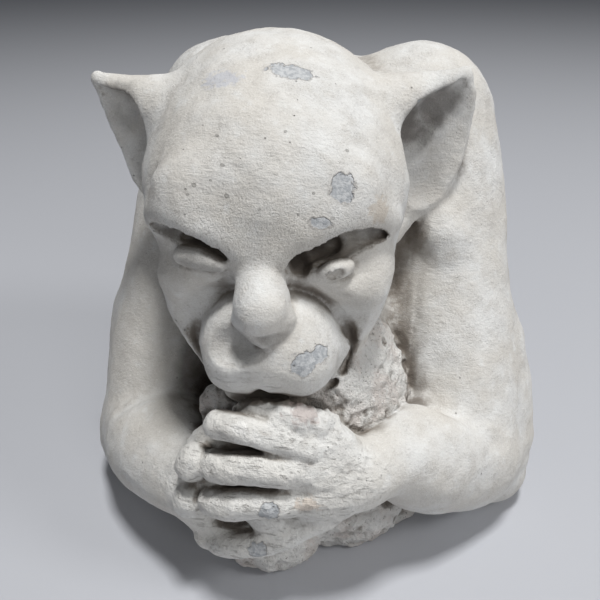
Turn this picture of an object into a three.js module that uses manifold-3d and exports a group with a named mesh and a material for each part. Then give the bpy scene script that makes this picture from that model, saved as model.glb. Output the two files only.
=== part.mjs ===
// A crouching gargoyle, cast in one piece: a bald, snub-nosed head with pointed ears sits low between
// raised shoulders, the elbows and the folded legs stand on the ground, and the hands are clasped under
// the chin, on a lump of rough rock.
//
// Millimetres, +Z up. The figure faces -Y, its left side is +X. The origin is the middle of the
// underside, which is cut flat so that the casting stands by its own weight.

import * as THREE from "three";
import { mergeVertices } from "three/addons/utils/BufferGeometryUtils.js";
import Module from "manifold-3d";

const wasm = await Module();
wasm.setup();

// Driving dimensions.
const HEAD_TURN = 8; // degrees, towards the figure's left
const HEAD_CENTRE = [-15, -62, 208]; // a point deep between the eyes
const EAR_THICKNESS = 0.42; // of its width
const DISH_DEPTH = 0.5; // of its width
const UNDERSIDE_BLOCK = 600; // side of the block that cuts the underside flat

// Fineness of the facets.
const ROUND_SIDES = 11; // around a big form
const SMALL_SIDES = 7; // around a finger
const ROUND_RINGS = 7; // from pole to pole of a big pebble
const SMALL_RINGS = 5; // from pole to pole of a small one
const ROUND_END_STEPS = 2; // in each round end of a thick limb
const SMALL_END_STEPS = 2; // in each round end of a finger
const BIG_RADIUS = 20; // forms thinner than this get SMALL_SIDES

const isSmall = (radius) => radius < BIG_RADIUS;

// ---------------------------------------------------------------- making and joining clay

// A pebble: a sphere drawn out to three half-lengths and turned, in degrees, about X, Y and Z.
function pebble(centre, halves, turn = [0, 0, 0]) {
  const small = isSmall(Math.max(...halves));
  const sides = small ? SMALL_SIDES : ROUND_SIDES;
  const rings = small ? SMALL_RINGS : ROUND_RINGS;
  const geometry = new THREE.SphereGeometry(1, sides, rings);
  geometry.rotateX(Math.PI / 2);
  const angles = turn.map(THREE.MathUtils.degToRad);
  const turned = new THREE.Quaternion().setFromEuler(new THREE.Euler(...angles));
  const middle = new THREE.Vector3(...centre);
  const place = new THREE.Matrix4().compose(middle, turned, new THREE.Vector3(...halves));
  return geometry.applyMatrix4(place);
}

// The outline of a limb with ball ends, from the first ball's pole to the second's, along +Y.
function limbProfile(length, firstRadius, lastRadius, endSteps) {
  const lean = Math.asin(THREE.MathUtils.clamp((firstRadius - lastRadius) / length, -1, 1));
  const profile = [];
  for (let i = 0; i <= endSteps; i++) {
    const angle = THREE.MathUtils.lerp(-Math.PI / 2, lean, i / endSteps);
    profile.push(new THREE.Vector2(firstRadius * Math.cos(angle), firstRadius * Math.sin(angle)));
  }
  for (let i = 0; i <= endSteps; i++) {
    const angle = THREE.MathUtils.lerp(lean, Math.PI / 2, i / endSteps);
    const reach = length + lastRadius * Math.sin(angle);
    profile.push(new THREE.Vector2(lastRadius * Math.cos(angle), reach));
  }
  profile[0].x = 0;
  profile.at(-1).x = 0;
  return profile;
}

// A limb between two balls [x, y, z, radius], pressed flat along `face` by `flatness` (1 is round).
function limb([...first], [...last], face = [0, -1, 0], flatness = 1) {
  const firstRadius = first.pop();
  const lastRadius = last.pop();
  const start = new THREE.Vector3(...first);
  const along = new THREE.Vector3(...last).sub(start);
  const length = along.length();
  along.normalize();
  const across = new THREE.Vector3().crossVectors(along, new THREE.Vector3(...face));
  if (across.length() < 1e-3) across.crossVectors(along, new THREE.Vector3(1, 0, 0));
  across.normalize();
  const front = new THREE.Vector3().crossVectors(across, along).multiplyScalar(flatness);
  const small = isSmall(Math.max(firstRadius, lastRadius));
  const endSteps = small ? SMALL_END_STEPS : ROUND_END_STEPS;
  const profile = limbProfile(length, firstRadius, lastRadius, endSteps);
  const geometry = new THREE.LatheGeometry(profile, small ? SMALL_SIDES : ROUND_SIDES);
  const basis = new THREE.Matrix4().makeBasis(across, along, front).setPosition(start);
  return geometry.applyMatrix4(basis);
}

// Limbs from joint to joint, as a list.
function chain(joints, face, flatness) {
  return joints.slice(1).map((joint, i) => limb(joints[i], joint, face, flatness));
}

// A closed three.js geometry as a manifold-3d solid.
function solidOf(geometry) {
  const bare = geometry.clone();
  bare.deleteAttribute("normal");
  bare.deleteAttribute("uv");
  const merged = mergeVertices(bare, 1e-4);
  const vertProperties = merged.attributes.position.array;
  const triVerts = new Uint32Array(merged.index.array);
  return new wasm.Manifold(new wasm.Mesh({ numProp: 3, vertProperties, triVerts }));
}

// Geometries put in place and joined to one solid.
function joined(geometries, place = new THREE.Matrix4()) {
  return wasm.Manifold.union(geometries.map((geometry) => solidOf(geometry.applyMatrix4(place))));
}

// ---------------------------------------------------------------- the body

const torso = [
  pebble([0, 48, 186], [98, 65, 85]), // upper back
  pebble([0, 36, 78], [92, 62, 90]), // belly and rump
  limb([0, -12, 214, 54], [0, 42, 205, 62]), // neck, sunk between the shoulders
  pebble([-4, -30, 120], [60, 46, 72]), // chest
];

// The upper arms stand like pillars, a little apart at the elbows.
const upperArms = [
  ...chain([[62, 40, 238, 48], [86, 4, 150, 43], [104, -50, 48, 43]]),
  ...chain([[-62, 40, 238, 48], [-86, 4, 150, 43], [-98, -57, 38, 42]]),
];

// The legs are drawn up on the outer side of the arms, knees high and feet beside the elbows. Each is
// hip, knee, shin and foot.
const legs = [
  ...chain([[56, 62, 66, 48], [106, 6, 112, 32], [126, -20, 56, 32], [131, -38, 22, 26]]),
  ...chain([[-56, 62, 66, 48], [-102, 4, 112, 36], [-118, -20, 56, 32], [-122, -38, 22, 26]]),
];

// The two forearms aren't alike: the figure's left hand lies over its right.
const forearms = [
  ...chain([[104, -50, 48, 43], [84, -79, 63, 38], [47, -127, 85, 20]]),
  ...chain([[-98, -57, 38, 42], [-84, -86, 52, 37], [-46, -128, 64, 22]]),
];

// ---------------------------------------------------------------- rock and hands

const rock = [
  pebble([14, -62, 66], [62, 58, 104], [8, 0, 0]),
  pebble([-26, -102, 100], [26, 15, 22]),
  pebble([26, -80, 21], [48, 35, 35]),
  pebble([-6, -107, 18], [37, 33, 29]),
  pebble([0, -14, 24], [84, 74, 44]), // the seat, under the body
];

// The left hand: its back, then four fingers of knuckle, middle joint and tip, then the thumb.
const leftHand = [
  pebble([25, -130, 84], [27, 20, 37], [0, 18, -10]),
  limb([47, -128, 83, 20], [28, -132, 86, 22]),
  ...chain([[28, -134, 109, 11], [1, -145, 122, 9], [-26, -143, 124, 8]]),
  ...chain([[24, -140, 101, 11], [-5, -152, 105, 9], [-27, -149, 101, 8.5]]),
  ...chain([[24, -142, 84, 11], [-6, -156, 84, 8.5], [-31, -151, 76, 8]]),
  ...chain([[22, -138, 60, 11], [-8, -154, 50, 7.5], [-31, -148, 41, 7]]),
  ...chain([[27, -129, 119, 8], [4, -135, 126, 8], [-17, -128, 120, 6]]),
];

// The right hand: its palm and heel, with fingertips showing round the edge of the left.
const rightHand = [
  pebble([-24, -126, 68], [34, 24, 44]),
  limb([-46, -128, 66, 21], [-26, -128, 40, 24]),
  pebble([-41, -145, 97], [10, 10, 12], [0, 20, 0]),
  pebble([-42, -146, 72], [9, 10, 11], [0, 20, 0]),
  pebble([-38, -143, 40], [8, 9, 9]),
];

// ---------------------------------------------------------------- the head
// Positions are from HEAD_CENTRE, before the head is turned.

const skull = [
  pebble([2, 38, 29], [71, 76, 62]), // brain case
  pebble([4, -1, 14], [71, 61, 62]), // forehead
  pebble([7, -6, -18], [63, 42, 36]), // middle of the face
  limb([-18, -18, -44, 30], [26, -18, -44, 30]), // jaw
  ...chain([[45, -28, -16, 23], [36, -38, -56, 15], [24, -46, -74, 10]]), // left cheek
  ...chain([[-33, -30, -14, 22], [-28, -40, -56, 14], [-18, -46, -74, 9]]), // right cheek
  limb([38, -46, -69, 6], [-12, -54, -84, 7]), // lower lip
];

const brows = [
  ...chain([[12, -54, 7, 6], [36, -50, 19, 8], [61, -31, 11, 6]]),
  ...chain([[-13, -54, 8, 6], [-38, -49, 19, 8], [-54, -32, 13, 6]]),
];

const eyeSockets = [
  ...chain([[14, -58, -2, 4.5], [28, -54, 4, 8.5], [48, -44, 9, 9], [61, -31, 5, 4]]),
  ...chain([[-14, -59, 2, 3], [-37, -50, 10, 7.5], [-54, -34, 8, 4]]),
];

const lowerLids = [
  limb([30, -53, -6, 4], [41, -51, -4.5, 4.5]),
  limb([-38, -50, -0.5, 5], [-22, -57, -1, 4.5]),
];

// The folds from the wings of the nose round the top of the muzzle.
const cheekFolds = [
  ...chain([[13, -61, -12, 3], [25, -56, -20, 4.5], [43, -46, -42, 5], [45, -44, -56, 3.5]]),
  ...chain([[-13, -61, -13, 3], [-28, -55, -23, 4.5], [-36, -46, -48, 4]]),
];

const muzzle = [
  pebble([3, -47, -46], [35, 36, 31]),
  pebble([-14, -53, -53], [18, 27, 22]), // halves of the upper lip
  pebble([21, -53, -53.5], [18, 27, 22]),
];

const mouth = chain([[-30, -52, -78, 3], [3, -72, -75, 3.5], [37, -52, -75, 3]]);

const nostril = [limb([-14, -76, -33, 11], [3, -85, -28, 8])];

const nose = chain([[0, -48, 5, 10], [0.5, -60, -11, 12.5], [1.5, -71, -20, 14], [4, -71, -34, 5]]);

// A pointed leaf with a dished front, and a web along its top that runs into the skull. Each is its
// joints from the tip down, the hollow of its front, and the end of the web inside the skull.
const ears = [
  {
    spine: [[105, 31, 70, 3], [96, 29, 45, 19], [86, 24, 15, 20], [72, 14, -10, 9]],
    hollow: [[98, 22, 57, 6], [84, 11, 38, 15], [80, 8, 12, 9]],
    webEnd: [46, 22, 46, 26],
    outward: 1,
  },
  {
    spine: [[-95, 31, 66, 3], [-80, 28, 44, 14], [-70, 23, 18, 14], [-62, 12, -6, 5]],
    hollow: [[-91, 24, 59, 4], [-77, 16, 44, 12], [-74, 11, 18, 9]],
    webEnd: [-46, 22, 46, 26],
    outward: -1,
  },
];

function ear({ spine, webEnd, outward }) {
  const face = [outward * 0.45, -1, 0.1];
  const tip = [...spine[0].slice(0, 3), 4];
  return [...chain(spine, face, EAR_THICKNESS), limb(webEnd, tip)];
}

// The shallow front of the leaf, a rim's width inside it and nearer the front.
function dish({ spine, hollow, outward }) {
  const rim = 2.5;
  const inner = spine.slice(1, 3).map(([x, y, z, r]) => [x + outward, y - 0.4 * r, z - 1.5, r - rim]);
  return [...chain(inner, [outward * 0.45, -1, 0.1], DISH_DEPTH), ...chain(hollow)];
}

function head() {
  const [turn, centre] = [THREE.MathUtils.degToRad(HEAD_TURN), new THREE.Vector3(...HEAD_CENTRE)];
  const place = new THREE.Matrix4().makeRotationZ(turn).setPosition(centre);
  const inHead = (geometries) => joined(geometries, place);
  return inHead([...skull, ...brows])
    .subtract(inHead([...eyeSockets, ...cheekFolds]))
    .add(inHead([...muzzle, ...lowerLids]))
    .subtract(inHead([...mouth, ...nostril]))
    .add(inHead([...nose, ...ears.flatMap(ear)]))
    .subtract(inHead(ears.flatMap(dish)));
}

// ---------------------------------------------------------------- the casting

const block = new THREE.BoxGeometry(UNDERSIDE_BLOCK, UNDERSIDE_BLOCK, UNDERSIDE_BLOCK);
const belowGround = joined([block.translate(0, 0, -UNDERSIDE_BLOCK / 2)]);

const figure = joined([...torso, ...upperArms, ...legs, ...forearms, ...rock, ...leftHand, ...rightHand])
  .add(head())
  .subtract(belowGround);

// The joined solid at its real size, with the origin at the middle of its underside.
function casting(solid) {
  const { vertProperties, triVerts, numProp } = solid.getMesh();
  if (numProp !== 3) throw new Error("the joined solid carries more than positions");
  const geometry = new THREE.BufferGeometry();
  geometry.setAttribute("position", new THREE.BufferAttribute(vertProperties, 3));
  geometry.setIndex(new THREE.BufferAttribute(triVerts, 1));
  geometry.computeBoundingBox();
  const box = geometry.boundingBox;
  geometry.translate(-(box.min.x + box.max.x) / 2, -(box.min.y + box.max.y) / 2, -box.min.z);
  geometry.computeVertexNormals();
  return geometry;
}

const castStone = new THREE.MeshStandardMaterial({ color: 0xc9c6bf, roughness: 0.85, metalness: 0 });

const gargoyle = new THREE.Mesh(casting(figure), castStone);
gargoyle.name = "gargoyle";

const part = new THREE.Group();
part.add(gargoyle);

export default part;
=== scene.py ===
import math

import bpy
import numpy as np
from mathutils import Euler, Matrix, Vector


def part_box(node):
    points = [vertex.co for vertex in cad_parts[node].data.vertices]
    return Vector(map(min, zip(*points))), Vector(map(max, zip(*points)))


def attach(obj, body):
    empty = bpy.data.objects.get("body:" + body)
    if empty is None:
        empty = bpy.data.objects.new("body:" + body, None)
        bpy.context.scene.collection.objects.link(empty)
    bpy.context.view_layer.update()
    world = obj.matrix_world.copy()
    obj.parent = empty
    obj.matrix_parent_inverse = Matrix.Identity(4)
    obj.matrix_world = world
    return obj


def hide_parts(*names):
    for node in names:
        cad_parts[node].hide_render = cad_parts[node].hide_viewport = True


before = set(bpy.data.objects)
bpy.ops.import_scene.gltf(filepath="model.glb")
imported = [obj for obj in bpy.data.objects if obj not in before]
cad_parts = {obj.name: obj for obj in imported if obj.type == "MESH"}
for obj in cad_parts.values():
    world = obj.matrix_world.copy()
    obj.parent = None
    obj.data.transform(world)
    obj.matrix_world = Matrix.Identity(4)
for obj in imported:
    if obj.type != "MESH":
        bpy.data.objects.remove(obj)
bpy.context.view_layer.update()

# ---------------------------------------------------------------- the body
# The hunched trunk is the core of the casting. It was modelled in clay before the mould was made, so
# it is built here as clay: round forms laid on one another and rubbed together where they meet.
# Millimetres, the ground at z = 0, the figure facing -y and its middle near x = 0.

CELL = 1.25  # how finely the clay is worked
REACH = 14.0  # how far from its surface a form can be felt


class Form:
    """A lump of clay: the box that holds it, and how far a point lies outside it."""

    def __init__(self, low, high, outside):
        self.low, self.high, self.outside = np.array(low), np.array(high), outside


def rotation(turn):
    return np.array(Euler([math.radians(a) for a in turn]).to_matrix())


UPRIGHT = (np.zeros(3), np.eye(3))


def pebble(centre, halves, turn=(0, 0, 0), place=UPRIGHT):
    """An egg with three half lengths, turned in degrees about x, y and z."""
    axes = place[1] @ rotation(turn)
    middle = place[0] + place[1] @ np.array(centre, float)
    half = np.array(halves, float)
    spread = np.sqrt(((axes * half) ** 2).sum(1))

    def outside(x, y, z):
        near = far = 0.0
        for i in range(3):
            along = (x - middle[0]) * axes[0, i] + (y - middle[1]) * axes[1, i]
            along = (along + (z - middle[2]) * axes[2, i]) / half[i]
            near = near + along**2
            far = far + (along / half[i]) ** 2
        near = np.sqrt(near)
        return near * (near - 1) / np.sqrt(far + 1e-9)

    return Form(middle - spread, middle + spread, outside)


def bend(joints, steps):
    """The joints of a limb with more set between them on a smooth curve."""
    given = np.array(joints, float)
    ends = np.vstack([2 * given[0] - given[1], given, 2 * given[-1] - given[-2]])
    curve = []
    for a, b, c, d in zip(ends, ends[1:], ends[2:], ends[3:]):
        for t in np.arange(steps) / steps:
            square, cube = 2 * a - 5 * b + 4 * c - d, 3 * (b - c) + d - a
            curve.append(0.5 * (2 * b + (c - a) * t + square * t**2 + cube * t**3))
    return np.array(curve + [given[-1]])


def limb(*joints, steps=1, place=UPRIGHT, face=None, flat=1.0):
    """A rounded limb through joints (x, y, z, radius), pressed flat along `face` where that is given."""
    run = bend(joints, steps) if steps > 1 else np.array(joints, float)
    at = place[0] + run[:, :3] @ place[1].T
    radius = run[:, 3]
    pressed = None if face is None else place[1] @ (np.array(face) / np.linalg.norm(face))

    def outside(x, y, z):
        least = None
        for a, b, ra, rb in zip(at, at[1:], radius, radius[1:]):
            way = b - a
            px, py, pz = x - a[0], y - a[1], z - a[2]
            t = np.clip((px * way[0] + py * way[1] + pz * way[2]) / (way @ way), 0, 1)
            px, py, pz = px - t * way[0], py - t * way[1], pz - t * way[2]
            square = px**2 + py**2 + pz**2
            if pressed is not None:
                off = px * pressed[0] + py * pressed[1] + pz * pressed[2]
                square = square + off**2 * (1 / flat**2 - 1)
            gap = np.sqrt(square) - (ra + t * (rb - ra))
            if pressed is not None:
                gap = gap * (flat + (1 - flat) * 0.5)
            least = gap if least is None else np.minimum(least, gap)
        return least

    return Form((at - radius[:, None]).min(0), (at + radius[:, None]).max(0), outside)


SPECKS = np.random.default_rng(11).random(4096).astype(np.float32)


def lumps(x, y, z, size, seed=0):
    """Soft lumps about `size` across, from -1 to 1."""
    cells, parts = [], []
    for value, shift in ((x, 0.37), (y, 0.71), (z, 0.13)):
        place = value / size + shift + 37
        cells.append(np.floor(place).astype(np.int64))
        part = place - cells[-1]
        parts.append((part * part * (3 - 2 * part)).astype(np.float32))
    total = 0.0
    for corner in range(8):
        step = [(corner >> i) & 1 for i in range(3)]
        weight = 1.0
        for i in range(3):
            weight = weight * (parts[i] if step[i] else 1 - parts[i])
        key = (cells[0] + step[0]) * 73856093 ^ (cells[1] + step[1]) * 19349663
        key = key ^ (cells[2] + step[2]) * 83492791
        total = total + weight * SPECKS[(key + seed * 977) & 4095]
    return 2 * total - 1


class Clay:
    """Clay in a block of small cells. Each cell knows how far it is outside the surface."""

    def __init__(self, low, high):
        self.low = np.array(low, float)
        self.count = np.ceil((np.array(high) - low) / CELL).astype(int) + 1
        self.depth = np.full(self.count, REACH, np.float32)

    def window(self, form, margin):
        first = np.floor((form.low - margin - self.low) / CELL).astype(int).clip(0, self.count)
        last = np.ceil((form.high + margin - self.low) / CELL).astype(int).clip(0, self.count)
        span = tuple(slice(a, b) for a, b in zip(first, last))
        steps = [(self.low[i] + CELL * np.arange(first[i], last[i])).astype(np.float32) for i in range(3)]
        return span, (steps[0][:, None, None], steps[1][None, :, None], steps[2][None, None, :])

    def lay(self, *forms, rub=4.0, rough=None):
        """Adds forms, rubbed into what they touch over `rub`. `rough` is a texture added to them."""
        for form in forms:
            span, at = self.window(form, REACH)
            gap = form.outside(*at)
            if rough is not None:
                gap = gap + rough(*at)
            old = self.depth[span]
            meet = np.maximum(rub - np.abs(old - gap), 0) / rub
            self.depth[span] = np.minimum(old, gap) - meet * meet * rub / 4

    def carve(self, *forms, rub=2.0):
        """Takes forms away, with edges rounded over `rub`."""
        for form in forms:
            span, at = self.window(form, REACH)
            gap = -form.outside(*at)
            old = self.depth[span]
            meet = np.maximum(rub - np.abs(old - gap), 0) / rub
            self.depth[span] = np.maximum(old, gap) + meet * meet * rub / 4


clay = Clay((-172, -186, -8), (180, 124, 310))

clay.lay(
    pebble((0, 46, 186), (98, 60, 84)),
    pebble((0, 36, 78), (92, 62, 90)),
    limb((0, -12, 214, 54), (0, 42, 205, 62)),
    pebble((-4, -30, 120), (60, 46, 72)),
    rub=26,
)

# ---------------------------------------------------------------- arms and legs
# The elbows stand on the ground in front of the drawn-up legs, and the upper arms rise from them like
# pillars to the raised shoulders. All are smooth, with soft creases where flesh meets flesh.

clay.lay(
    limb((56, 62, 66, 48), (106, 6, 112, 32), (126, -20, 56, 32), (131, -38, 22, 26), steps=3),
    limb((-56, 62, 66, 48), (-102, 4, 112, 36), (-118, -20, 56, 32), (-122, -38, 22, 26), steps=3),
    rub=12,
)
clay.lay(
    limb((62, 40, 238, 48), (78, 22, 190, 45), (88, -2, 140, 42), (104, -50, 48, 43), steps=7),
    limb((-62, 40, 238, 48), (-78, 22, 190, 45), (-88, -2, 140, 42), (-98, -57, 38, 42), steps=7),
    rub=14,
)
clay.lay(
    limb((104, -50, 48, 43), (84, -79, 64, 37), (65, -107, 83, 23), (47, -127, 88, 17), steps=7),
    limb((-98, -57, 38, 42), (-84, -86, 52, 37), (-62, -114, 60, 27), (-46, -128, 64, 22), steps=7),
    rub=4,
)

clay.carve(  # where the forearms press against the upper arms
    limb(
        (66, -74, 96, 3), (76, -76, 98, 3.5), (88, -78, 100, 3.5), (102, -80, 98, 2.5),
        (113, -81, 93, 2.5), (122, -84, 84, 2), (134, -78, 74, 1), steps=2,
    ),
    limb((-111, -92, 79, 1), (-95, -86, 89, 2.5), (-80, -80, 93, 2.5), (-70, -76, 88, 2.5), steps=2),
    rub=7,
)
# the muscle in front of the left shoulder, and a crease in front of that
clay.lay(limb((68, -8, 204, 12), (81, -19, 187, 14), (88, -14, 166, 12), steps=3), rub=9)
clay.carve(limb((68, -38, 196, 1.5), (74, -40, 186, 1.5), (86, -38, 178, 1)), rub=5)

# ---------------------------------------------------------------- the rock
# The figure crouches over a lump of rock, left rough from the modeller's tool, which fills the space
# under the chin and shows again as a ragged rim below the hands.


def broken(x, y, z):
    return 1.4 * lumps(x, y, z, 6, 1) + 1.3 * lumps(x, y, z, 3.2, 2) + 0.9 * lumps(x, y, z, 15, 3)


rock = [
    pebble((13, -62, 66), (60, 58, 104), (8, 0, 0)),
    pebble((-26, -102, 100), (26, 15, 22)),
    pebble((26, -80, 21), (48, 35, 35)),
    pebble((-10, -107, 18), (37, 33, 29)),
    pebble((36, -62, 4), (52, 29, 12)),
    limb((24, -112, 24, 7), (44, -107, 26, 8), (62, -97, 20, 5)),
    pebble((0, -14, 24), (84, 74, 44)),
]
clay.lay(*rock, rub=4, rough=broken)

# ---------------------------------------------------------------- the hands
# The left hand is laid over the right, the fingers thick and only roughly parted, with the stump of
# the thumb on top under the lip.

clay.lay(
    pebble((-24, -126, 68), (34, 24, 44)),
    limb((-46, -128, 66, 21), (-26, -128, 40, 24)),
    rub=5,
)
clay.lay(
    limb(
        (28, -134, 109, 11), (15, -142, 116, 10), (1, -145, 122, 8.5), (-12, -146, 126, 8),
        (-26, -143, 124, 8), steps=4,
    ),
    limb(
        (24, -140, 101, 11), (10, -149, 105, 10), (-5, -152, 105.5, 9), (-18, -151.5, 103, 9),
        (-27, -149, 101, 8.5), steps=4,
    ),
    limb(
        (24, -142, 84, 11), (8, -153, 85, 9), (-6, -156, 84, 8.5), (-20, -155.5, 80, 8.5),
        (-31, -151, 76, 8), steps=4,
    ),
    limb(
        (22, -138, 60, 11), (6, -150, 54, 8), (-8, -154, 50, 7.5), (-20, -153, 46, 7.5),
        (-31, -148, 41, 7), steps=4,
    ),
    rub=2,
)
clay.lay(  # the right hand's fingertips, round the edge of the left
    pebble((-41, -145, 97), (10, 10, 12), (0, 20, 0)),
    pebble((-45, -147, 71), (9, 10, 11), (0, 20, 0)),
    pebble((-38, -143, 40), (8, 9, 9)),
    rub=1.5,
)
clay.lay(
    pebble((25, -130, 84), (27, 20, 37), (0, 18, -10)),
    limb((47, -128, 87, 17.5), (28, -132, 86, 21)),
    rub=8,
)
# flesh at the roots of the last two fingers, and the hollow between them
clay.lay(pebble((-1, -147, 67), (13, 9, 11)), rub=5)
clay.carve(pebble((-21, -153, 57.5), (11, 15, 4), (0, -6, 0)), rub=1)

# ---------------------------------------------------------------- the head
# A bald, heavy skull turned a little to the figure's left. The head has a frame of its own, with its
# origin between the eyes, deep inside, and the face towards -y.

HEAD_TURN = 8
head = (np.array([-15.0, -62.0, 208.0]), rotation((0, 0, HEAD_TURN)))

clay.lay(
    pebble((2, 38, 29), (71, 76, 62), place=head),
    pebble((4, -1, 14), (71, 61, 62), place=head),
    rub=14,
)
clay.lay(
    pebble((7, -6, -18), (63, 42, 36), place=head),
    limb((-18, -18, -44, 30), (26, -18, -44, 30), place=head),
    rub=8,
)
# cheeks
clay.lay(
    limb(
        (45, -28, -16, 23), (43, -32, -36, 20), (36, -38, -56, 15), (24, -46, -74, 10), steps=4,
        place=head,
    ),
    limb(
        (-33, -30, -14, 22), (-34, -34, -34, 19), (-28, -40, -56, 14), (-18, -46, -74, 9), steps=4,
        place=head,
    ),
    rub=6,
)
clay.lay(
    limb((26, -52, -12, 6), (38, -50, -17, 8), (52, -42, -22, 10), steps=2, place=head),
    limb((-24, -52, -10, 5), (-36, -47, -14, 7), (-46, -38, -18, 8), steps=2, place=head),
    rub=7,
)
clay.lay(
    limb(
        (44, -40, -62, 6), (36, -47, -72, 6), (24, -54, -82, 6), (10, -58, -87, 6), (-16, -50, -83, 7),
        steps=3, place=head,
    ),
    rub=3,
)
# brows
clay.lay(
    limb(
        (12, -54, 6, 6), (25, -53, 14, 7), (36, -50, 18.5, 7), (50, -42, 19.5, 6.5), (61, -31, 11, 5),
        steps=4, place=head,
    ),
    limb(
        (-13, -54, 8, 6), (-25, -53, 14.5, 7), (-38, -49, 19, 7), (-49, -40, 18, 5), (-54, -32, 12, 4),
        steps=4, place=head,
    ),
    rub=12,
)
# bosses of the forehead, and the dent between them
clay.lay(
    pebble((35, -41, 33), (18, 9, 12), place=head),
    pebble((-33, -42, 32), (17, 9, 12), place=head),
    rub=12,
)
clay.carve(pebble((-5, -70, 38), (16, 10, 13), place=head), rub=6)
# sockets
clay.carve(
    limb(
        (14, -58, -2, 4.5), (20, -57, 1, 6.5), (28, -54, 4, 8.5), (38, -50, 7.5, 9.5), (48, -46, 9, 8),
        (56, -40, 7.5, 5), (61, -35, 6, 2.5), steps=2, place=head,
    ),
    limb(
        (-14, -59, 2, 3), (-25, -56, 6, 6), (-37, -52, 10, 7), (-46, -46, 11, 6), (-53, -39, 9, 3.5),
        steps=2, place=head,
    ),
    rub=1,
)
clay.carve(
    limb((25, -46, 0, 5), (34, -42, 2, 5), place=head),
    pebble((18, -52, -3), (6.5, 10, 6), place=head),
    rub=1.5,
)
# lids
clay.lay(
    limb((29, -56, -7.5, 3), (35, -56, -5, 5.5), (41, -53, -4.5, 4.5), steps=2, place=head),
    limb((-38, -52, -0.5, 5), (-29, -56, 0, 6), (-19, -59, -2, 3), steps=2, place=head),
    rub=1,
)
clay.carve(
    limb(
        (27, -60, -10, 1.5), (34, -61, -12.5, 2), (42, -58, -11, 2), (47, -54, -4, 1.5), steps=2,
        place=head,
    ),
    pebble((37, -60, -6), (5, 3, 2.5), (0, -20, 0), place=head),
    limb((-38, -45, 7, 2.5), (-27, -50, 7, 3), (-15, -57, 3, 2), steps=2, place=head),
    limb(
        (-43, -52, -4, 1.2), (-37, -57, -7.5, 2.2), (-29, -60, -9, 2.6), (-18, -62, -6.5, 1.8), steps=2,
        place=head,
    ),
    rub=1,
)
# folds
folds = [
    (
        (12, -62, -11, 2), (17, -60, -15, 3), (24, -58, -20, 3.5), (34, -54, -30, 2.8),
        (43, -47, -43, 3), (46, -45, -57, 2.5), (42, -50, -69, 1.5),
    ),
    (
        (-12, -62, -12, 2), (-19, -59, -16, 3.5), (-28, -55, -24, 4), (-34, -51, -34, 3),
        (-36, -49, -48, 2.5), (-34, -50, -62, 1.5),
    ),
]
clay.carve(  # the cheeks sink towards the folds
    limb((20, -67, -14, 8), (33, -63.5, -24, 9), (46, -56, -38, 9), steps=2, place=head),
    limb((-20, -66, -14, 7), (-32, -62, -24, 8), (-41, -54, -38, 8), steps=2, place=head),
    rub=6,
)
for fold in folds:
    clay.carve(limb(*fold, steps=3, place=head), rub=5)
    clay.carve(limb(*((x, y + 2, z - 2, r * 0.65) for x, y, z, r in fold), steps=3, place=head), rub=1)
# muzzle
clay.lay(pebble((3, -47, -46), (35, 36, 31), place=head), rub=1.5)
clay.lay(
    pebble((-14, -53, -53), (18, 27, 22), place=head),
    pebble((21, -53, -53.5), (18, 27, 22), place=head),
    rub=7,
)
# mouth
clay.carve(
    limb(
        (-30, -52, -78, 2.5), (-13, -66, -79.5, 2.5), (3, -72, -75, 3), (20, -66, -79.5, 2.5),
        (37, -52, -75, 2.5), steps=4, place=head,
    ),
    rub=2,
)
clay.carve(
    limb((-1, -81, -62, 2), (-0.5, -71.5, -70.5, 4.5), (0, -63, -76.5, 5), steps=2, place=head), rub=3,
)
# nose
clay.carve(
    limb(
        (-17, -79, -35, 10.5), (-9, -82, -34, 10), (2, -86, -31, 8), (11, -88, -23, 5), steps=2,
        place=head,
    ),
    rub=4,
)
clay.carve(
    limb((-19, -76, -44.5, 1.5), (-10, -80, -42.5, 2.5), (1, -83, -37, 2.5), steps=2, place=head), rub=2,
)
clay.lay(limb((0, -46, 9, 9), (0, -52, -3, 11), place=head), rub=11)
clay.lay(
    limb(
        (0, -52, -4, 11), (0.5, -60, -10, 12), (1.5, -67, -15, 13.5), (1.5, -71, -18, 14), steps=2,
        place=head,
    ),
    rub=2.5,
)
clay.lay(limb((-9, -71, -24, 5), (2.5, -79, -33, 2.5), (12.5, -72, -23, 5), steps=3, place=head), rub=3)

# the stump of the left thumb, pushed up against the lip
thumb = limb(
    (27, -130, 121, 8), (17, -136, 127, 8.5), (4, -137, 129, 8), (-8, -135, 128, 7), (-17, -129, 122, 6),
    steps=3,
)
clay.lay(thumb, rub=3, rough=broken)
# the crease under the thumb
clay.carve(
    limb((-4, -147, 135, 1), (6, -149, 136, 1.8), (16, -150, 134, 2), (28, -146, 128, 1.5), steps=2),
    rub=1.5,
)

# ---------------------------------------------------------------- the ears
# Pointed leaves with a dished front and a web along the top that runs into the skull. The left ear is
# the broader of the two.

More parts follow.
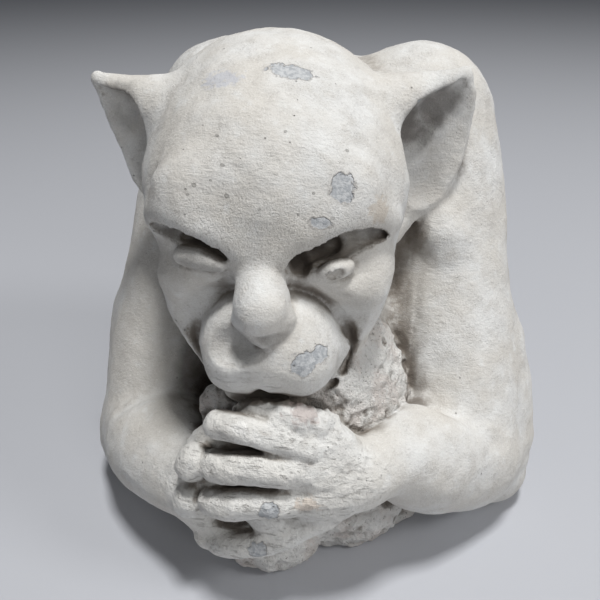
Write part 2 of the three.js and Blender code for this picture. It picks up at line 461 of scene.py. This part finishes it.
ears = {
    1: (
        (105, 31, 70, 3), (103, 30, 58, 11), (96, 29, 45, 19), (92, 27, 30, 21), (86, 24, 15, 20),
        (78, 19, 0, 13), (70, 13, -15, 8),
    ),
    -1: (
        (-95, 31, 66, 3), (-88, 30, 55, 9), (-80, 28, 44, 14), (-75, 26, 32, 14), (-70, 23, 18, 14),
        (-66, 18, 6, 10), (-62, 12, -6, 5),
    ),
}
scoops = {
    1: (
        (103, 27, 65, 3), (98, 22, 57, 8), (89, 15, 49, 14), (83, 10, 38, 16), (81, 6, 24, 14),
        (79, 7, 10, 10), (76, 8, -3, 6), (73, 7, -14, 3),
    ),
    -1: (
        (-93, 26, 61, 3), (-87, 23, 56, 7), (-79, 18, 49, 12), (-74, 14, 38, 13), (-74, 11, 24, 11),
        (-73, 12, 12, 7),
    ),
}
for side, spine in ears.items():
    face = (side * 0.45, -1, 0.1)
    clay.lay(limb(*spine, steps=2, place=head, face=face, flat=0.42), rub=5)
    clay.lay(limb((side * 46, 22, 46, 26), (*spine[0][:3], 3), place=head), rub=6)
    dish = [(x + side * (0.12 * r + 0.8), y - 0.42 * r, z - 1, r - 2.2) for x, y, z, r in spine[1:5]]
    clay.carve(limb(*dish, steps=2, place=head, face=face, flat=0.45), rub=1)
    clay.carve(limb(*scoops[side], steps=3, place=head), rub=1)

# ---------------------------------------------------------------- the casting
# The clay form is cast in cement as one solid piece, level underneath, and brushed with a pale wash.
# The wash has chipped off in places, bubbles have left small holes, and the hollows are dark with dirt and
# painted shade.


def cast(depth, low):
    """The surface of the clay as points and four-cornered faces."""
    inside = depth < 0
    full = sum(
        inside[i : i - 1 or None, j : j - 1 or None, k : k - 1 or None].astype(np.int8)
        for i in (0, 1) for j in (0, 1) for k in (0, 1)
    )
    crossed = (full > 0) & (full < 8)
    cells = np.argwhere(crossed)
    number = np.full(crossed.shape, -1, np.int64)
    number[crossed] = np.arange(len(cells))
    corner = {
        (i, j, k): depth[cells[:, 0] + i, cells[:, 1] + j, cells[:, 2] + k]
        for i in (0, 1) for j in (0, 1) for k in (0, 1)
    }
    total, hits = np.zeros((len(cells), 3)), np.zeros(len(cells))
    for a in corner:
        for axis in range(3):
            if a[axis]:
                continue
            b = tuple(1 if i == axis else a[i] for i in range(3))
            changes = (corner[a] < 0) != (corner[b] < 0)
            share = corner[a][changes] / (corner[a][changes] - corner[b][changes])
            spot = np.repeat(np.array([a], float), changes.sum(), 0)
            spot[:, axis] = share
            total[changes] += spot
            hits[changes] += 1
    points = low + CELL * (cells + total / hits[:, None])
    faces = []
    for axis in range(3):
        u, v = (axis + 1) % 3, (axis + 2) % 3
        here = [slice(1, -1)] * 3
        here[axis] = slice(0, -1)
        there = list(here)
        there[axis] = slice(1, None)
        turns = inside[tuple(here)] != inside[tuple(there)]
        spot = np.argwhere(turns)
        leaving = inside[tuple(here)][turns]
        spot[:, u] += 1
        spot[:, v] += 1
        ring = []
        for du, dv in ((1, 1), (0, 1), (0, 0), (1, 0)):
            cell = spot.copy()
            cell[:, u] -= du
            cell[:, v] -= dv
            ring.append(number[cell[:, 0], cell[:, 1], cell[:, 2]])
        quad = np.stack(ring, 1)
        quad[~leaving] = quad[~leaving][:, ::-1]
        faces.append(quad)
    return points, np.vstack(faces)


# the unevenness of work done by hand, with tool marks dragged along the fingers
steps = [clay.low[i] + CELL * np.arange(clay.count[i]) for i in range(3)]
SKIN = 4  # millimetres either side of the surface, where the modeller's hand shows
near = np.argwhere(np.abs(clay.depth) < SKIN)
spot = [steps[i][near[:, i]] for i in range(3)]
hand_work = np.clip(2.2 - np.hypot(spot[0] + 5, spot[2] - 85) / 34, 0, 1) * (spot[1] < -105)
waver = 0.6 * lumps(*spot, 17, 5) + 0.35 * lumps(*spot, 7, 6) + 0.15 * lumps(*spot, 3.5, 7)
drag = 0.7 * lumps(spot[0] / 3 + spot[2] / 9, spot[1], spot[2], 3.2, 8) + 0.5 * lumps(*spot, 5, 9)
clay.depth[tuple(near.T)] += (waver + hand_work * drag).astype(np.float32)
ground = steps[2].astype(np.float32)[None, None, :]
clay.depth = np.maximum(clay.depth, -ground)

points, faces = cast(clay.depth, clay.low)

box_low, box_high = (np.array(corner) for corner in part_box("gargoyle"))
own_low, own_high = points.min(0), points.max(0)
shift = (box_low + box_high) / 2 - (own_low + own_high) / 2000
shift[2] = box_low[2] - own_low[2] / 1000
mesh = bpy.data.meshes.new("gargoyle_casting")
mesh.from_pydata((points / 1000 + shift).tolist(), [], faces.tolist())
mesh.validate()
gargoyle = bpy.data.objects.new("gargoyle_casting", mesh)
bpy.context.scene.collection.objects.link(gargoyle)

LIMIT = 190000  # triangles
triangles = 2 * len(mesh.polygons)
if triangles > LIMIT:
    thin = gargoyle.modifiers.new("thin", "DECIMATE")
    thin.ratio = LIMIT / triangles
    bpy.context.view_layer.update()
    thinned = bpy.data.meshes.new_from_object(gargoyle.evaluated_get(bpy.context.evaluated_depsgraph_get()))
    gargoyle.modifiers.clear()
    gargoyle.data = thinned
gargoyle.data.polygons.foreach_set("use_smooth", np.ones(len(gargoyle.data.polygons), bool))


def sample(values, spots):
    """Values of the clay's cells at points, in its own millimetres."""
    cell = ((spots - clay.low) / CELL).clip(0, np.array(clay.count) - 1.001)
    base = cell.astype(int)
    part = cell - base
    total = 0.0
    for corner in range(8):
        step = np.array([(corner >> i) & 1 for i in range(3)])
        weight = np.where(step, part, 1 - part).prod(1)
        total = total + weight * values[tuple((base + step).T)]
    return total


body = gargoyle.data
count = len(body.vertices)
spots, normals = np.empty(count * 3), np.empty(count * 3)
body.vertices.foreach_get("co", spots)
body.vertices.foreach_get("normal", normals)
spots = (spots.reshape(-1, 3) - shift) * 1000
normals = normals.reshape(-1, 3)
close = 1 - sample(clay.depth, spots + 3 * normals) / 3
wide = 1 - sample(clay.depth, spots + 10 * normals) / 10
solid = clay.depth < 0
# how much of the room in front of each point is taken up by the casting itself
WAYS = 48
GOLDEN_ANGLE = 2.4
shut = whole = 0.0
for i in range(WAYS):
    rise, turn = 1 - (2 * i + 1) / WAYS, GOLDEN_ANGLE * i
    way = np.array([math.cos(turn) * math.sqrt(1 - rise**2), math.sin(turn) * math.sqrt(1 - rise**2), rise])
    share = np.clip(normals @ way, 0, 1)
    blocked = np.zeros(count, bool)
    for reach in (3, 6, 10, 15, 22, 30, 42, 56):
        cell = ((spots + 1.5 * normals + reach * way - clay.low) / CELL).astype(int)
        blocked |= solid[tuple(cell.clip(0, np.array(clay.count) - 1).T)]
    shut, whole = shut + share * blocked, whole + share
shut = shut / whole
gap = np.min([form.outside(*spots.T) for form in rock], axis=0) + broken(*spots.T)
rocky = np.clip(1.6 - np.abs(gap) * 0.9, 0, 1)
for name, values in (("close", close), ("wide", wide), ("shut", shut), ("rocky", rocky)):
    layer = body.attributes.new(name, "FLOAT", "POINT")
    layer.data.foreach_set("value", np.clip(values, 0, 1).astype(np.float32))


def settle(spot, place=UPRIGHT):
    """The point of the surface nearest to a spot."""
    at = (place[0] + place[1] @ np.array(spot, float))[None]
    for _ in range(8):
        rise = [sample(clay.depth, at + step) - sample(clay.depth, at - step) for step in np.eye(3)]
        slope = np.array(rise)[:, 0] / 2
        at = at - 0.8 * sample(clay.depth, at)[:, None] * slope / (slope @ slope + 0.05)
    return tuple(at[0])


stone = bpy.data.materials.new("cast_stone")
stone.use_nodes = True
nodes, links = stone.node_tree.nodes, stone.node_tree.links
shader = nodes["Principled BSDF"]


def put(socket, value):
    if isinstance(value, bpy.types.NodeSocket):
        links.new(value, socket)
    else:
        socket.default_value = value


def node(kind, settings=None, **inputs):
    made = nodes.new(kind)
    for name, value in (settings or {}).items():
        setattr(made, name, value)
    for name, value in inputs.items():
        put(made.inputs[int(name[1:]) if name[1:].isdigit() else name.replace("_", " ")], value)
    return made


def reckon(how, a, b, clamp=False):
    return node("ShaderNodeMath", {"operation": how, "use_clamp": clamp}, _0=a, _1=b).outputs[0]


def plus(a, b):
    return reckon("ADD", a, b)


def less(a, b):
    return reckon("SUBTRACT", a, b)


def times(a, b, clamp=False):
    return reckon("MULTIPLY", a, b, clamp)


def larger(a, b):
    return reckon("MAXIMUM", a, b)


def ramp(value, low, high, out_low=0.0, out_high=1.0):
    made = node("ShaderNodeMapRange", {"interpolation_type": "SMOOTHSTEP"})
    names = ("Value", "From Min", "From Max", "To Min", "To Max")
    for name, given in zip(names, (value, low, high, out_low, out_high)):
        put(made.inputs[name], given)
    return made.outputs[0]


def noise(size, detail=2.0, rough=0.5, vector=None):
    """Noise whose lumps are about `size` millimetres across, from 0 to 1."""
    return node(
        "ShaderNodeTexNoise", Vector=vector or spot_mm, Scale=1 / size, Detail=detail, Roughness=rough,
    ).outputs[0]


def mix(share, a, b):
    made = node("ShaderNodeMix", {"data_type": "RGBA"})
    put(made.inputs[0], share)
    put(made.inputs[6], a)
    put(made.inputs[7], b)
    return made.outputs[2]


def layer_of(name):
    return node("ShaderNodeAttribute", {"attribute_name": name}).outputs["Fac"]


place = node("ShaderNodeTexCoord").outputs["Object"]
moved = node("ShaderNodeVectorMath", {"operation": "SUBTRACT"}, _0=place, _1=tuple(shift)).outputs[0]
spot_mm = node("ShaderNodeVectorMath", {"operation": "SCALE"}, _0=moved, Scale=1000.0).outputs[0]
streaked = node(
    "ShaderNodeMapping", Vector=spot_mm, Rotation=(0.3, 0.4, 0.5), Scale=(0.25, 1.0, 1.0),
).outputs[0]


def patch(centre, halves, ragged=0.6, size=3.0, soft=0.08):
    """1 within a ragged blot on the surface, 0 outside it."""
    away = node("ShaderNodeVectorMath", {"operation": "SUBTRACT"}, _0=spot_mm, _1=centre).outputs[0]
    away = node("ShaderNodeVectorMath", {"operation": "DIVIDE"}, _0=away, _1=halves).outputs[0]
    away = node("ShaderNodeVectorMath", {"operation": "LENGTH"}, _0=away).outputs["Value"]
    away = plus(away, times(less(noise(size, 3), 0.5), ragged * 2))
    return ramp(away, 1 + soft, 1 - soft)


def on_head(spot):
    return tuple(head[0] + head[1] @ np.array(spot, float))


# brushed cement, warm and cool by turns, sandy where the brush left it thin
close, wide = layer_of("close"), layer_of("wide")
broad = noise(42, 3)
blotch = noise(12, 5, 0.65)
fine = noise(3.2, 4, 0.65)
grain = noise(0.9, 3, 0.7)
streak = noise(1.5, 4, 0.65, streaked)
colour = mix(ramp(broad, 0.35, 0.65), (0.62, 0.595, 0.55, 1), (0.69, 0.685, 0.665, 1))
colour = mix(ramp(blotch, 0.46, 0.72, 0, 0.5), colour, (0.55, 0.52, 0.475, 1))
colour = mix(ramp(blotch, 0.46, 0.28, 0, 0.6), colour, (0.76, 0.765, 0.75, 1))
colour = mix(ramp(streak, 0.54, 0.78, 0, 0.35), colour, (0.42, 0.40, 0.37, 1))
colour = mix(ramp(fine, 0.56, 0.74, 0, 0.32), colour, (0.45, 0.43, 0.40, 1))
brow = patch(on_head((0, -58, 14)), (66, 26, 17), 0.5, 9, 0.4)
sandy = larger(ramp(plus(blotch, times(broad, 0.6)), 0.78, 0.95, 0, 0.5), brow)
colour = mix(ramp(grain, 0.52, 0.7, 0, 0.45), colour, (0.82, 0.81, 0.785, 1))
dark_grain = times(ramp(grain, 0.46, 0.32), plus(0.2, times(sandy, 0.55)))
colour = mix(dark_grain, colour, (0.36, 0.34, 0.31, 1))
# the hands and the upper lip, whiter, with tool and brush marks; the whiteness is partly a paler wash and
# partly painted light on the hands' forward faces
on_hands = patch((0, -150, 82), (62, 42, 56), 0.3, 8, 0.3)
on_lip = patch((-4, -146, 148), (34, 30, 16), 0.3, 8, 0.4)
tool_marks_and_painted_light = larger(on_hands, times(on_lip, 0.7))
colour = mix(times(tool_marks_and_painted_light, 0.55), colour, (0.80, 0.79, 0.755, 1))
along_fingers = node(
    "ShaderNodeMapping", Vector=spot_mm, Rotation=(0.1, 0.25, 0.2), Scale=(0.14, 1.0, 1.0),
)
long_streak = noise(1.9, 4, 0.7, along_fingers.outputs[0])
scratch = times(ramp(long_streak, 0.55, 0.70), tool_marks_and_painted_light)
colour = mix(times(scratch, 0.38), colour, (0.42, 0.385, 0.34, 1))
# the rough rock, pinker and pitted
rocky = layer_of("rocky")
pits = noise(2.2, 4, 0.68)
stony = mix(ramp(noise(16, 3), 0.4, 0.65), (0.86, 0.845, 0.81, 1), (0.77, 0.715, 0.67, 1))
stony = mix(ramp(pits, 0.5, 0.68, 0.0, 0.8), stony, (0.86, 0.85, 0.82, 1))
stony = mix(ramp(pits, 0.42, 0.31, 0.0, 0.75), stony, (0.20, 0.17, 0.145, 1))
colour = mix(rocky, colour, stony)
# dirt and painted shade in the hollows: darker the more the casting closes in round a point, mottled in the
# creases
shut = layer_of("shut")
shade = times(ramp(shut, 0.34, 0.82, 0, 0.92), less(1.0, times(rocky, 0.6)))
colour = mix(shade, colour, (0.15, 0.12, 0.092, 1))
crease_dirt_and_shade = times(ramp(close, 0.12, 0.55), ramp(noise(4, 5, 0.65), 0.3, 0.62, 0.35, 1.0), True)
colour = mix(times(crease_dirt_and_shade, 0.8), colour, (0.20, 0.17, 0.14, 1))
colour = mix(ramp(wide, 0.6, 0.95, 0, 0.55), colour, (0.20, 0.175, 0.15, 1))
# shade painted into hollows that face forward, darker than loose dirt alone would leave them
eyes = (
    ((29, -45, 3), (12, 10, 7), 0.9), ((17, -47, -3), (7, 9, 6), 0.9), ((50, -40, 11), (13, 9, 7), 0.25),
    ((-27, -48, 8), (12, 8, 5), 0.8), ((-42, -42, 11), (10, 8, 6), 0.2), ((-28, -60, -1), (12, 8, 6), 0.3),
)
ear_dishes = (
    ((97, 23, 56), (12, 10, 11), 0.7), ((90, 21, 51), (12, 12, 12), 0.75),
    ((82, 17, 44), (17, 12, 15), 0.85), ((87, 18, 22), (22, 14, 26), 0.3),
    ((-80, 20, 50), (17, 9, 16), 0.65),
)
nose_and_cheeks = (
    ((-13, -76, -36), (15, 12, 9), 0.35), ((8, -80, -30), (8, 8, 4), 0.4),
    ((50, -44, -21), (10, 10, 9), 0.25), ((-50, 2, -106), (13, 22, 26), 0.5),
)
pools = 0.0
for centre, halves, depth in eyes + ear_dishes + nose_and_cheeks:
    pools = larger(times(patch(on_head(centre), halves, 0.25, 6, 0.3), depth), pools)
facing = node("ShaderNodeSeparateXYZ", Vector=node("ShaderNodeTexCoord").outputs["Normal"]).outputs[1]
colour = mix(times(pools, ramp(facing, 0.25, -0.1)), colour, (0.075, 0.062, 0.052, 1))
# stains
for centre, halves, tint in (
    ((-34, -79, 286), (10, 7, 4), (0.47, 0.49, 0.55, 1)),
    ((49, -102, 231), (6, 6, 6), (0.50, 0.43, 0.35, 1)),
    ((25, -162, 90), (6, 6, 4), (0.60, 0.50, 0.41, 1)),
    ((20, -141, 138), (9, 7, 5), (0.42, 0.34, 0.315, 1)),
    ((-12, -155, 133), (4, 4, 3), (0.9, 0.89, 0.86, 1)),
):
    colour = mix(times(patch(settle(centre), halves, 1.3, 3, 0.35), 0.6), colour, tint)
# chips down to the grey cement
chips = 0.0
rims = 0.0
for centre, halves in (
    ((1, -72, 289), (13, 6, 4)), ((31, -111, 244), (5.5, 6, 7)), ((20, -143, 165), (6.5, 7, 6)),
    ((29, -135, 168), (5.5, 6, 4.5)), ((24, -123, 231), (6, 4, 2.5)), ((5, -167, 88), (5, 6, 5)),
    ((-3, -165, 54), (5, 6, 5)), ((64, -35, 264), (4, 3, 2)),
):
    at = settle(centre)
    chips = larger(patch(at, halves), chips)
    rims = larger(patch(at, tuple(h + 0.7 for h in halves)), rims)
colour = mix(times(rims, 0.6), colour, (0.33, 0.31, 0.29, 1))
bare_cement = mix(ramp(noise(2.2, 3), 0.4, 0.6), (0.40, 0.415, 0.43, 1), (0.55, 0.56, 0.565, 1))
colour = mix(chips, colour, bare_cement)
# small holes left by bubbles
holes = 0.0
for centre, size in (
    ((-19, -41, 55), 0.8), ((-16, -50, 44), 1.0), ((-29, -50, 35), 1.1), ((-32, -51, 31), 0.8),
    ((-14, -56, 32), 1.2), ((1, -59, 27), 0.8), ((18, -57, 24), 0.7), ((25, -54, 33), 0.7),
    ((38, -40, 45), 0.9), ((48, -44, 20), 1.9), ((12, -42, 57), 0.7), ((40, -30, -40), 1.0),
):
    holes = larger(patch(settle(centre, head), (size, size, size * 0.8), 0.6, 1.2), holes)
bubbles = node("ShaderNodeTexVoronoi", Vector=spot_mm, Scale=1 / 9).outputs["Distance"]
bubbles = times(ramp(plus(bubbles, times(fine, 0.06)), 0.10, 0.07), ramp(noise(30, 2), 0.50, 0.54))
holes = larger(holes, bubbles)
colour = mix(times(holes, 0.5), colour, (0.17, 0.16, 0.145, 1))
put(shader.inputs["Base Color"], colour)
put(shader.inputs["Roughness"], 0.92)
put(shader.inputs["Specular IOR Level"], 0.25)
# the same grain, marks, pits, chips and holes, standing up or sunk
sand = plus(0.25, times(sandy, 0.5))
relief = plus(times(grain, sand), times(streak, 0.35))
relief = plus(relief, times(fine, plus(0.5, times(tool_marks_and_painted_light, 0.9))))
relief = less(relief, times(scratch, 0.5))
relief = plus(relief, times(times(pits, 3.0), rocky))
relief = less(relief, plus(times(chips, 0.5), holes))
bump = node("ShaderNodeBump", Strength=1.0, Distance=0.0012, Height=relief)
links.new(bump.outputs[0], shader.inputs["Normal"])
body.materials.append(stone)

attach(gargoyle, "root")
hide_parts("gargoyle")

# ---------------------------------------------------------------- floor
# A plain pale sheet under the gargoyle, which fills the view from the camera. From a low place its far
# edge can be seen. It is only there to look at the casting on, and isn't part of it.

floor_mesh = bpy.data.meshes.new("floor")
HALF_WIDTH = 6.0
corners = [(x * HALF_WIDTH, y * HALF_WIDTH, 0) for x, y in ((-1, -1), (1, -1), (1, 1), (-1, 1))]
floor_mesh.from_pydata(corners, [], [(0, 1, 2, 3)])
floor = bpy.data.objects.new("floor", floor_mesh)
bpy.context.scene.collection.objects.link(floor)
pale = bpy.data.materials.new("pale_floor")
pale.use_nodes = True
pale_shader = pale.node_tree.nodes["Principled BSDF"]
pale_shader.inputs["Base Color"].default_value = (0.48, 0.49, 0.52, 1)
pale_shader.inputs["Roughness"].default_value = 0.8
floor_mesh.materials.append(pale)

# ---------------------------------------------------------------- light and camera
# Plain studio light: a strong lamp overhead, one at the figure's left, a weaker one in front and a
# faint one at its right, so the tops are brightest and the right side falls into shade.


HANDS = Vector((0, 0, 0.12))  # the height that the lamps are turned to


def lamp(name, place, size, watts):
    light = bpy.data.lights.new(name, "AREA")
    light.size, light.energy = size, watts
    holder = bpy.data.objects.new(name, light)
    holder.location = place
    holder.rotation_euler = (HANDS - Vector(place)).to_track_quat("-Z", "Y").to_euler()
    bpy.context.scene.collection.objects.link(holder)


lamp("top", (0.24, -0.3, 3.0), 0.45, 72)
lamp("right", (2.5, -0.5, 2.2), 0.8, 28)
lamp("front", (1.5, -2.1, 1.4), 1.2, 14)
lamp("left", (-1.8, -1.7, 1.8), 1.8, 3)
world = bpy.data.worlds.new("studio")
bpy.context.scene.world = world
world.use_nodes = True
air = world.node_tree.nodes["Background"]
air.inputs["Color"].default_value = (0.8, 0.85, 0.95, 1)
air.inputs["Strength"].default_value = 0.06
bpy.context.scene.view_settings.view_transform = "Standard"

AZIMUTH, ELEVATION, DISTANCE = math.radians(10), math.radians(30), 0.460
middle = (box_low + box_high) / 2
aim = Vector((middle[0] - 0.014, middle[1] + 0.032, 0.115))
level = math.cos(ELEVATION)
back = Vector((math.sin(AZIMUTH) * level, -math.cos(AZIMUTH) * level, math.sin(ELEVATION)))
lens = bpy.data.cameras.new("camera")
lens.sensor_width, lens.lens = 36, 38.4
lens.clip_start = 0.01
camera = bpy.data.objects.new("camera", lens)
camera.location = aim + back * DISTANCE
camera.rotation_euler = (-back).to_track_quat("-Z", "Y").to_euler()
bpy.context.scene.collection.objects.link(camera)
bpy.context.scene.camera = camera

bpy.context.view_layer.update()
